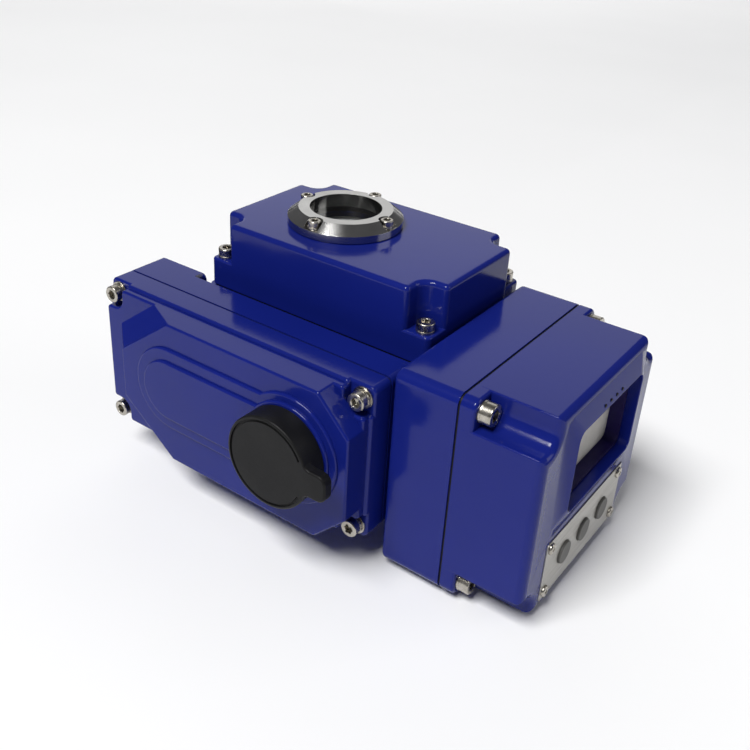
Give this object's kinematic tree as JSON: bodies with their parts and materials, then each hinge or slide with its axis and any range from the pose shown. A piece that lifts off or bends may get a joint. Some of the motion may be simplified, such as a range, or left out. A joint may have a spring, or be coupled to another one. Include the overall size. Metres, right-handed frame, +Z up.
{
  "type": "electric valve actuator",
  "caption": "Quarter-turn electric valve actuator: worm gearbox under a windowed top cover, gear case with hand drive cap, and a control box with display and push buttons.",
  "frame": {"origin": "output axis at the valve mounting face under the base", "axes": "+Z up along the output axis, +X to the control box, -Y to the gear cover with the hand drive cap"},
  "size_m": [0.2363, 0.172, 0.1339],
  "materials": {
    "enamel": "glossy blue enamel on a casting",
    "polished": "polished",
    "stainless": "satin",
    "steel": "machined",
    "bronze": "machined",
    "alloy": "machined",
    "brushed_plate": "brushed",
    "rubber": "matt black",
    "glass": "clear",
    "white_plastic": "matt",
    "grey_plastic": "matt",
    "black_plastic": "matt",
    "board": "lacquered board",
    "panel": "pale display",
    "lens": "dark lens"
  },
  "bodies": {
    "housing": {"main_housing": "enamel", "lower_bush": "bronze", "upper_bush": "bronze", "deck_plate": "alloy", "deck_screws": "stainless", "front_bearing": "steel", "rear_bearing": "steel", "idler_pins": "steel", "idler_clips": "steel", "motor": "steel", "motor_screws": "stainless", "front_gasket": "rubber", "front_cover": "enamel", "shaft_seal": "rubber", "front_cover_screws": "stainless", "front_cover_washers": "stainless", "top_gasket": "rubber", "top_cover": "enamel", "top_cover_screws": "stainless", "indicator_ring": "polished", "ring_screws": "stainless", "window_glass": "glass", "window_seal": "rubber", "position_sensor": "black_plastic", "limit_switches": "black_plastic", "switch_bracket": "alloy", "bracket_screws": "stainless", "control_base": "enamel", "control_base_bolts": "stainless", "control_gasket": "rubber", "control_cover": "enamel", "control_cover_screws": "stainless", "control_board": "board", "terminal_block": "grey_plastic", "display_board": "board", "board_screws": "stainless", "display_panel": "panel", "display_mask": "black_plastic", "indicator_lights": "lens", "button_plate": "brushed_plate", "plate_screws": "stainless", "button_switches": "black_plastic", "gland_bodies": "black_plastic", "gland_nuts": "black_plastic"},
    "output": {"output_sleeve": "steel", "worm_wheel": "bronze", "spindle_gear": "white_plastic", "lower_cam": "white_plastic", "upper_cam": "white_plastic", "indicator_dial": "white_plastic"},
    "worm": {"worm_shaft": "steel", "worm_gear": "steel"},
    "small_idler": {"small_idler": "steel"},
    "large_idler": {"large_idler": "steel"},
    "motor_rotor": {"motor_pinion": "steel"},
    "sensor": {"sensor_gear": "white_plastic"},
    "cap": {"hand_cap": "rubber"},
    "left_button": {"left_button": "grey_plastic"},
    "middle_button": {"middle_button": "grey_plastic"},
    "right_button": {"right_button": "grey_plastic"}
  },
  "joints": [
    {"name": "output_turn", "type": "hinge", "parent": "housing", "child": "output", "pos_m": [0, 0, 0], "axis": [0, 0, 1], "range_deg": [0, 90]},
    {"name": "worm_turn", "type": "hinge", "parent": "housing", "child": "worm", "pos_m": [0.045, 0, 0.0625], "axis": [0, -1, 0], "range_deg": [0, 2700]},
    {"name": "small_idler_turn", "type": "hinge", "parent": "housing", "child": "small_idler", "pos_m": [0.006, -0.07, 0.0625], "axis": [0, -1, 0], "range_deg": [-4320, 0]},
    {"name": "large_idler_turn", "type": "hinge", "parent": "housing", "child": "large_idler", "pos_m": [-0.033, -0.07, 0.0625], "axis": [0, -1, 0], "range_deg": [0, 2700]},
    {"name": "motor_turn", "type": "hinge", "parent": "housing", "child": "motor_rotor", "pos_m": [-0.06169, -0.07, 0.04333], "axis": [0, -1, 0], "range_deg": [-6172, 0]},
    {"name": "sensor_turn", "type": "hinge", "parent": "housing", "child": "sensor", "pos_m": [-0.024, 0, 0.08], "axis": [0, 0, 1], "range_deg": [-180, 0]},
    {"name": "cap_pull", "type": "slide", "parent": "housing", "child": "cap", "axis": [0, -1, 0], "range_m": [0, 0.02]},
    {"name": "left_press", "type": "slide", "parent": "housing", "child": "left_button", "axis": [-1, 0, 0], "range_m": [0, 0.001], "stiffness_N_per_m": 800},
    {"name": "middle_press", "type": "slide", "parent": "housing", "child": "middle_button", "axis": [-1, 0, 0], "range_m": [0, 0.001], "stiffness_N_per_m": 800},
    {"name": "right_press", "type": "slide", "parent": "housing", "child": "right_button", "axis": [-1, 0, 0], "range_m": [0, 0.001], "stiffness_N_per_m": 800}
  ],
  "couplings": [
    {"joint": "worm_turn", "follows": "output_turn", "ratio": 30},
    {"joint": "small_idler_turn", "follows": "output_turn", "ratio": -48},
    {"joint": "large_idler_turn", "follows": "output_turn", "ratio": 30},
    {"joint": "motor_turn", "follows": "output_turn", "ratio": -68.571},
    {"joint": "sensor_turn", "follows": "output_turn", "ratio": -2}
  ]
}
